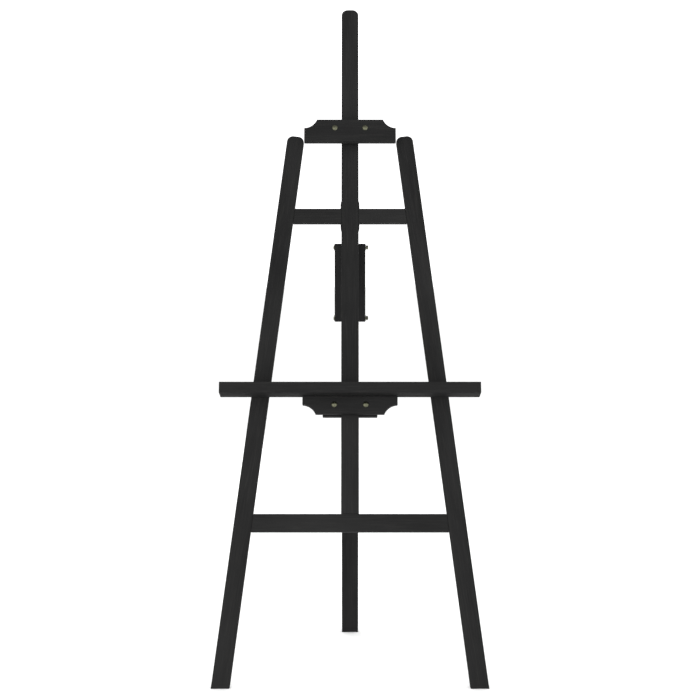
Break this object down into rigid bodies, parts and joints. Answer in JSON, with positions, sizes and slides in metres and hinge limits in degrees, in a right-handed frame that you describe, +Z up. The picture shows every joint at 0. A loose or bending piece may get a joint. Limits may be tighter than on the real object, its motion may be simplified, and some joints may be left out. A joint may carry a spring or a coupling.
{
  "type": "artist easel",
  "caption": "Freestanding A-frame artist easel in black-painted wood, with sliding canvas tray, sliding top clamp and a folding rear leg on a yoke.",
  "frame": {"origin": "on the floor, in the middle of the box around the standing easel", "axes": "+Z up, +X to the right for someone who faces the easel, +Y away from them towards the rear leg"},
  "size_m": [0.6792, 0.5824, 1.7133],
  "materials": {
    "black_painted_wood": "matt black paint over planed pine",
    "dowel_beech": "raw beech",
    "yellow_zinc": "dull yellow zinc-plated steel",
    "bright_zinc": "bright zinc-plated steel"
  },
  "bodies": {
    "frame": {"left_leg": "black_painted_wood", "lower_crossbar": "black_painted_wood", "mast": "black_painted_wood", "right_leg": "black_painted_wood", "upper_crossbar": "black_painted_wood", "hinge_arm": "black_painted_wood", "hinge_block": "black_painted_wood", "hinge_screw_1": "bright_zinc", "hinge_screw_2": "bright_zinc", "hinge_screw_3": "bright_zinc", "hinge_screw_4": "bright_zinc", "lower_bar_dowel_1": "dowel_beech", "lower_bar_dowel_2": "dowel_beech", "lower_bar_dowel_3": "dowel_beech", "lower_bar_dowel_4": "dowel_beech", "mast_dowel_1": "dowel_beech", "mast_dowel_2": "dowel_beech", "upper_bar_dowel_1": "dowel_beech", "upper_bar_dowel_2": "dowel_beech", "upper_bar_dowel_3": "dowel_beech", "upper_bar_dowel_4": "dowel_beech"},
    "clamp": {"clamp_board": "black_painted_wood", "clamp_bolt_left": "yellow_zinc", "clamp_bolt_right": "yellow_zinc", "clamp_rear_block": "black_painted_wood", "clamp_spacer": "black_painted_wood", "clamp_washer_1": "bright_zinc", "clamp_washer_2": "bright_zinc"},
    "tray": {"tray_board": "black_painted_wood", "tray_bolt_left": "yellow_zinc", "tray_bolt_right": "yellow_zinc", "tray_lip": "black_painted_wood", "tray_rear_block": "black_painted_wood", "tray_screw_1": "bright_zinc", "tray_screw_2": "bright_zinc", "tray_screw_3": "bright_zinc", "tray_shelf": "black_painted_wood", "tray_washer_1": "bright_zinc", "tray_washer_2": "bright_zinc"},
    "yoke": {"yoke_bar_left": "black_painted_wood", "yoke_bar_right": "black_painted_wood", "yoke_bottom_bolt": "yellow_zinc", "yoke_bottom_nut": "yellow_zinc", "yoke_top_bolt": "yellow_zinc", "yoke_top_nut": "yellow_zinc", "yoke_washer_1": "yellow_zinc", "yoke_washer_2": "yellow_zinc"},
    "rear_leg": {"rear_leg": "black_painted_wood"},
    "clamp_wing_nut_left": {"clamp_wing_nut_left": "bright_zinc"},
    "clamp_wing_nut_right": {"clamp_wing_nut_right": "bright_zinc"},
    "tray_wing_nut_left": {"tray_wing_nut_left": "bright_zinc"},
    "tray_wing_nut_right": {"tray_wing_nut_right": "bright_zinc"}
  },
  "joints": [
    {"name": "tray_slide", "type": "slide", "parent": "frame", "child": "tray", "axis": [0, 0.3135, 0.9496], "range_m": [-0.26, 0.18]},
    {"name": "clamp_slide", "type": "slide", "parent": "frame", "child": "clamp", "axis": [0, 0.3135, 0.9496], "range_m": [-0.145, 0.31]},
    {"name": "yoke_fold", "type": "hinge", "parent": "frame", "child": "yoke", "pos_m": [0, 0.1099, 1.07014], "axis": [-1, 0, 0], "range_deg": [-10, 25]},
    {"name": "leg_swing", "type": "hinge", "parent": "yoke", "child": "rear_leg", "pos_m": [0, 0.13651, 0.88201], "axis": [-1, 0, 0], "range_deg": [-30, 0]},
    {"name": "clamp_wing_nut_left_turn", "type": "hinge", "parent": "clamp", "child": "clamp_wing_nut_left", "pos_m": [-0.04, 0.19871, 1.3618], "axis": [0, 0.9496, -0.3135], "continuous": true},
    {"name": "clamp_wing_nut_right_turn", "type": "hinge", "parent": "clamp", "child": "clamp_wing_nut_right", "pos_m": [0.04, 0.19871, 1.3618], "axis": [0, 0.9496, -0.3135], "continuous": true},
    {"name": "tray_wing_nut_left_turn", "type": "hinge", "parent": "tray", "child": "tray_wing_nut_left", "pos_m": [-0.04, -0.03409, 0.65663], "axis": [0, 0.9496, -0.3135], "continuous": true},
    {"name": "tray_wing_nut_right_turn", "type": "hinge", "parent": "tray", "child": "tray_wing_nut_right", "pos_m": [0.04, -0.03409, 0.65663], "axis": [0, 0.9496, -0.3135], "continuous": true}
  ]
}
